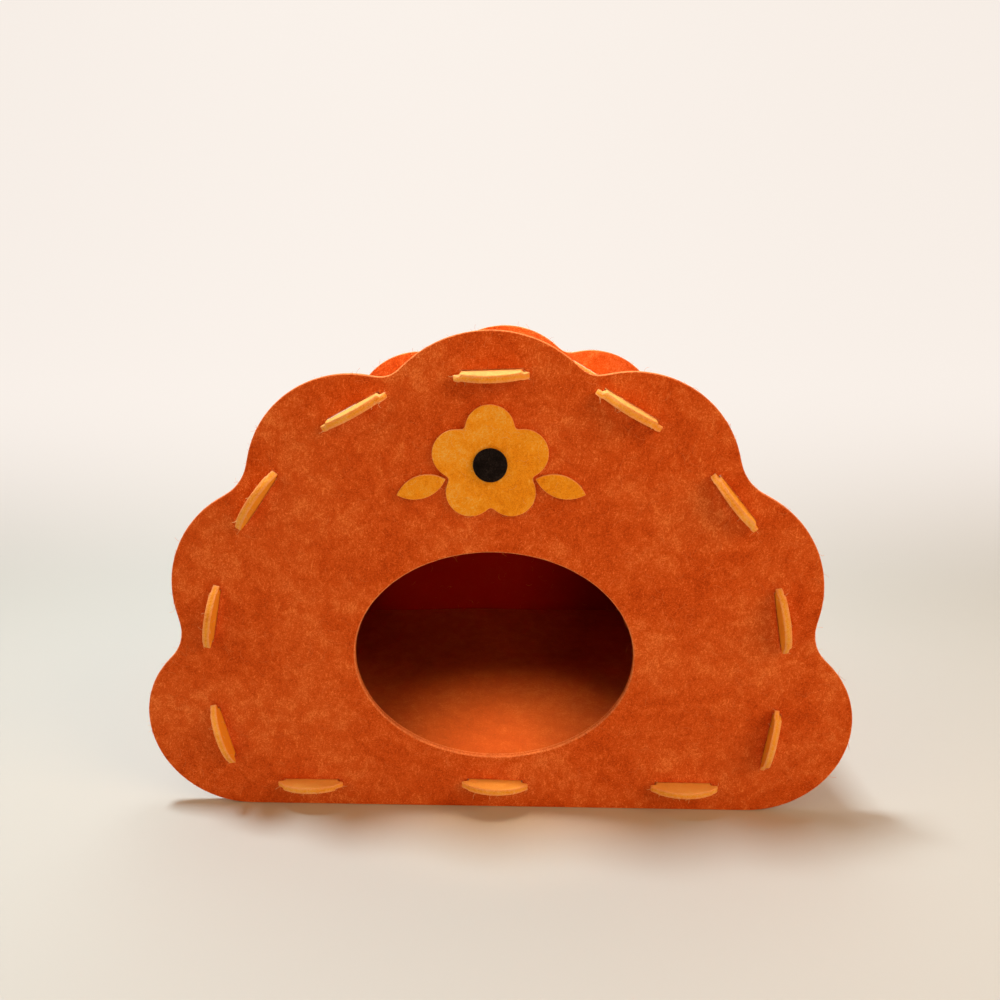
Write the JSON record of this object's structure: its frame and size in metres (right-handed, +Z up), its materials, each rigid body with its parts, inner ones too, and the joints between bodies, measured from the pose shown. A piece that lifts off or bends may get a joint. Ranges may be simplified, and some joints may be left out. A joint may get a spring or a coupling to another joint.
{
  "type": "felt cat cave",
  "caption": "Flat-pack cat cave of thick felt: scalloped front and back panels, an elliptical mouth, a felt band as walls and floor, and tabs locked through slits.",
  "frame": {"origin": "on the ground under the middle of the cave, at the centre of its footprint", "axes": "+X to the right as seen from the front, +Y from the mouth to the back, +Z up"},
  "size_m": [0.6, 0.393, 0.409],
  "materials": {
    "orange_felt": "matte needle-punched felt",
    "yellow_felt": "matte needle-punched felt",
    "black_felt": "matte needle-punched felt"
  },
  "bodies": {
    "root": {"front_panel": "orange_felt", "back_panel": "orange_felt", "wall_band": "orange_felt", "tab_front_floor_left": "yellow_felt", "tab_front_floor_middle": "yellow_felt", "tab_front_floor_right": "yellow_felt", "tab_front_flank_right": "yellow_felt", "tab_front_side_right": "yellow_felt", "tab_front_shoulder_right": "yellow_felt", "tab_front_upper_right": "yellow_felt", "tab_front_crown": "yellow_felt", "tab_front_upper_left": "yellow_felt", "tab_front_shoulder_left": "yellow_felt", "tab_front_side_left": "yellow_felt", "tab_front_flank_left": "yellow_felt", "tab_back_floor_left": "yellow_felt", "tab_back_floor_middle": "yellow_felt", "tab_back_floor_right": "yellow_felt", "tab_back_flank_right": "yellow_felt", "tab_back_side_right": "yellow_felt", "tab_back_shoulder_right": "yellow_felt", "tab_back_upper_right": "yellow_felt", "tab_back_crown": "yellow_felt", "tab_back_upper_left": "yellow_felt", "tab_back_shoulder_left": "yellow_felt", "tab_back_side_left": "yellow_felt", "tab_back_flank_left": "yellow_felt", "motif_flower": "yellow_felt", "motif_leaf_right": "yellow_felt", "motif_leaf_left": "yellow_felt", "motif_centre": "black_felt"}
  },
  "joints": []
}
